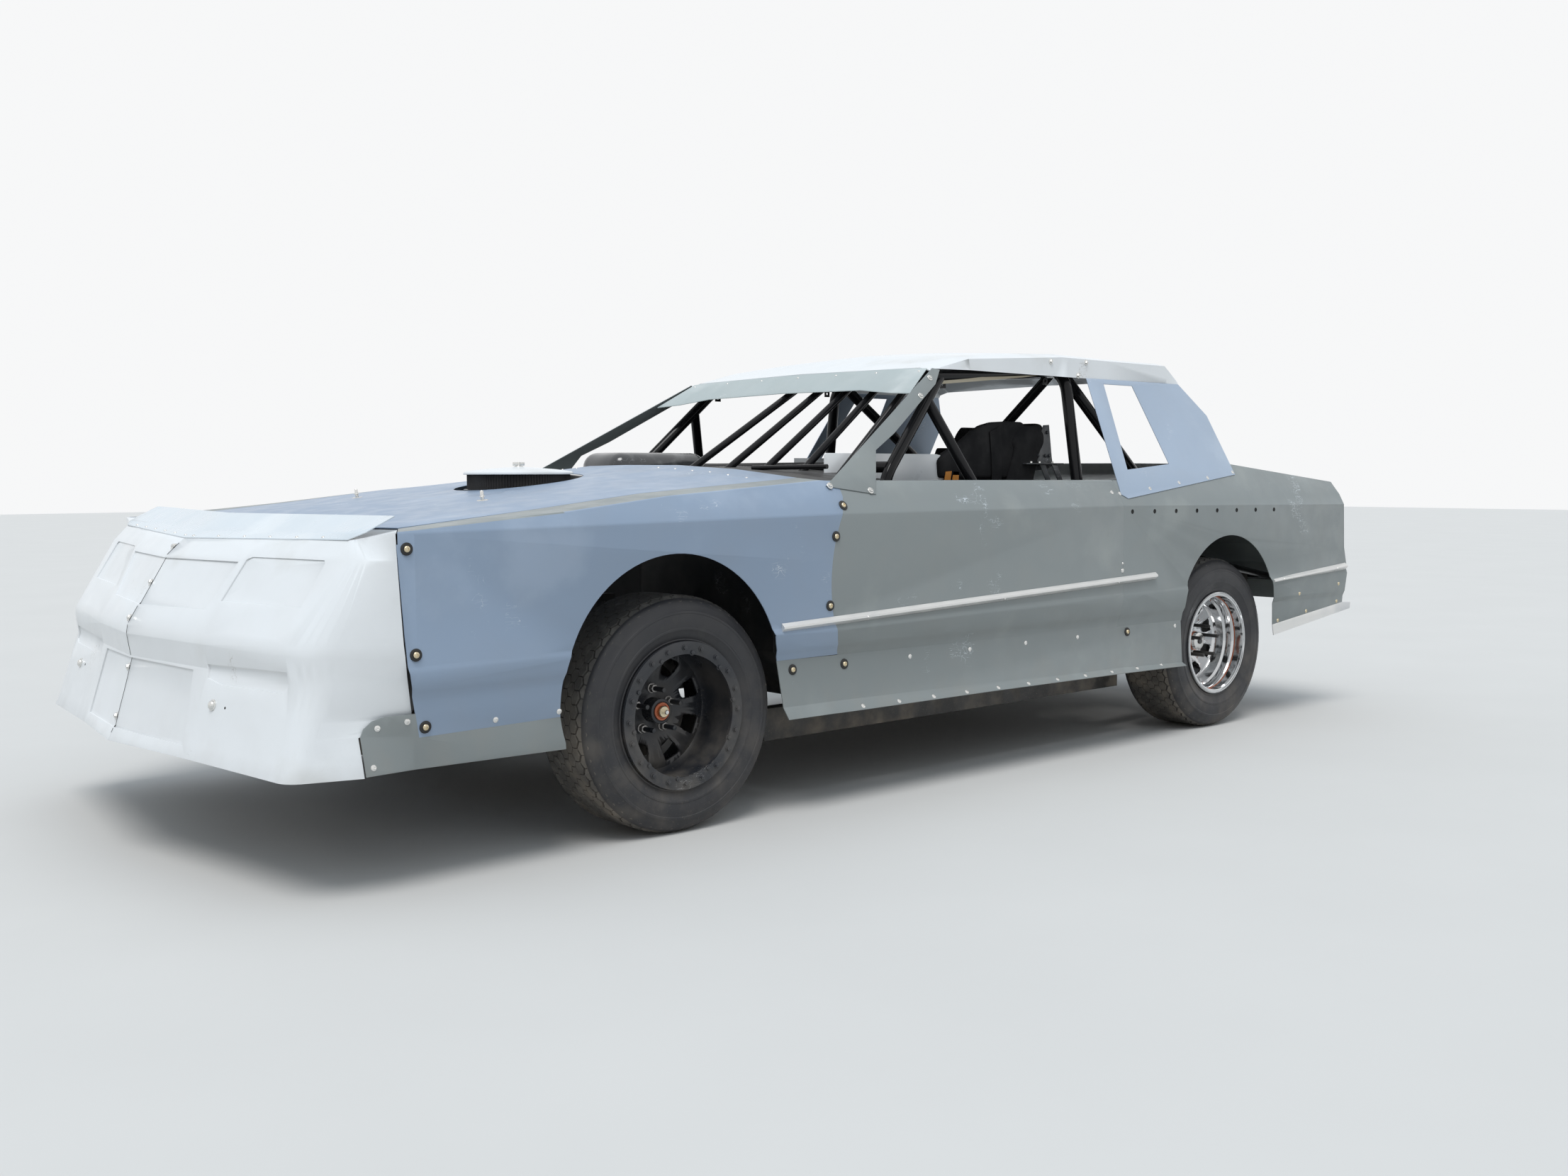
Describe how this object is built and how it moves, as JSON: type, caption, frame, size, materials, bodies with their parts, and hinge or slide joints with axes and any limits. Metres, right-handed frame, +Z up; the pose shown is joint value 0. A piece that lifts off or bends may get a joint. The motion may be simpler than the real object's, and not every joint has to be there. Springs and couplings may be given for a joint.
{
  "type": "short-track stock car",
  "caption": "Two-seat-wide closed race car with a sheet-metal body, tube cage and rail chassis; it rolls on its wheels and the front wheels steer together.",
  "frame": {"origin": "on the ground under the middle of the car's length and width", "axes": "+X forward, +Y to the car's left, +Z up"},
  "size_m": [5.033, 1.9086, 1.488],
  "materials": {
    "white_body": "worn white gel coat and paint",
    "blue_grey_paint": "matt blue-grey primer, scratched",
    "green_grey_paint": "matt green-grey primer, scratched",
    "bare_sheet": "dull mill finish, dusty",
    "black_tube": "gloss black enamel",
    "black_chassis": "worn black chassis paint",
    "inner_sheet": "satin black sheet",
    "cast_block": "painted castings, oily",
    "steel": "bare steel, lightly rusted",
    "black_rim": "satin black steel wheel",
    "chrome_rim": "chromed steel wheel, dusty",
    "tyre": "worn, siped tread",
    "seat_cover": "black seat cover over sheet aluminium",
    "filter": "black wrapped element under a worn white lid"
  },
  "bodies": {
    "chassis": {"nose": "white_body", "nose_lip": "white_body", "roof": "white_body", "deck_lid": "white_body", "inner_panel": "white_body", "fenders": "blue_grey_paint", "hood": "blue_grey_paint", "c_plates": "blue_grey_paint", "doors": "green_grey_paint", "quarters": "green_grey_paint", "lower_panels": "green_grey_paint", "visor": "green_grey_paint", "a_plates": "green_grey_paint", "tail_panel": "green_grey_paint", "rear_skirts": "bare_sheet", "rub_rails": "bare_sheet", "radiator": "bare_sheet", "cage_hoop": "black_tube", "cage_front": "black_tube", "windscreen_bars": "black_tube", "cage_sides": "black_tube", "cage_rear": "black_tube", "frame_rails": "black_chassis", "front_clip": "black_chassis", "control_arms": "black_chassis", "rear_axle": "black_chassis", "fuel_cell": "black_chassis", "steering_column": "black_chassis", "cowl": "inner_sheet", "cabin_tub": "inner_sheet", "engine": "cast_block", "driveline": "steel", "seat": "seat_cover", "air_cleaner": "filter"},
    "knuckle_left": {"knuckle_left": "black_chassis"},
    "wheel_front_left": {"rim_front_left": "black_rim", "tyre_front_left": "tyre"},
    "wheel_rear_left": {"rim_rear_left": "chrome_rim", "tyre_rear_left": "tyre"},
    "knuckle_right": {"knuckle_right": "black_chassis"},
    "wheel_front_right": {"rim_front_right": "black_rim", "tyre_front_right": "tyre"},
    "wheel_rear_right": {"rim_rear_right": "chrome_rim", "tyre_rear_right": "tyre"},
    "steering": {"steering_wheel": "black_tube"}
  },
  "joints": [
    {"name": "steer_left", "type": "hinge", "parent": "chassis", "child": "knuckle_left", "pos_m": [1.226, 0.632, 0.342], "axis": [0, 0, 1], "range_deg": [-25, 25]},
    {"name": "spin_front_left", "type": "hinge", "parent": "knuckle_left", "child": "wheel_front_left", "pos_m": [1.226, 0.765, 0.342], "axis": [0, 1, 0], "continuous": true},
    {"name": "spin_rear_left", "type": "hinge", "parent": "chassis", "child": "wheel_rear_left", "pos_m": [-1.517, 0.765, 0.342], "axis": [0, 1, 0], "continuous": true},
    {"name": "steer_right", "type": "hinge", "parent": "chassis", "child": "knuckle_right", "pos_m": [1.226, -0.632, 0.342], "axis": [0, 0, 1], "range_deg": [-25, 25]},
    {"name": "spin_front_right", "type": "hinge", "parent": "knuckle_right", "child": "wheel_front_right", "pos_m": [1.226, -0.765, 0.342], "axis": [0, 1, 0], "continuous": true},
    {"name": "spin_rear_right", "type": "hinge", "parent": "chassis", "child": "wheel_rear_right", "pos_m": [-1.517, -0.765, 0.342], "axis": [0, 1, 0], "continuous": true},
    {"name": "steering_turn", "type": "hinge", "parent": "chassis", "child": "steering", "pos_m": [0.0045, 0.35, 0.83], "axis": [-0.9563, 0, 0.2924], "range_deg": [-300, 300]}
  ],
  "couplings": [
    {"joint": "steer_right", "follows": "steer_left", "ratio": 1},
    {"joint": "steering_turn", "follows": "steer_left", "ratio": 12}
  ]
}
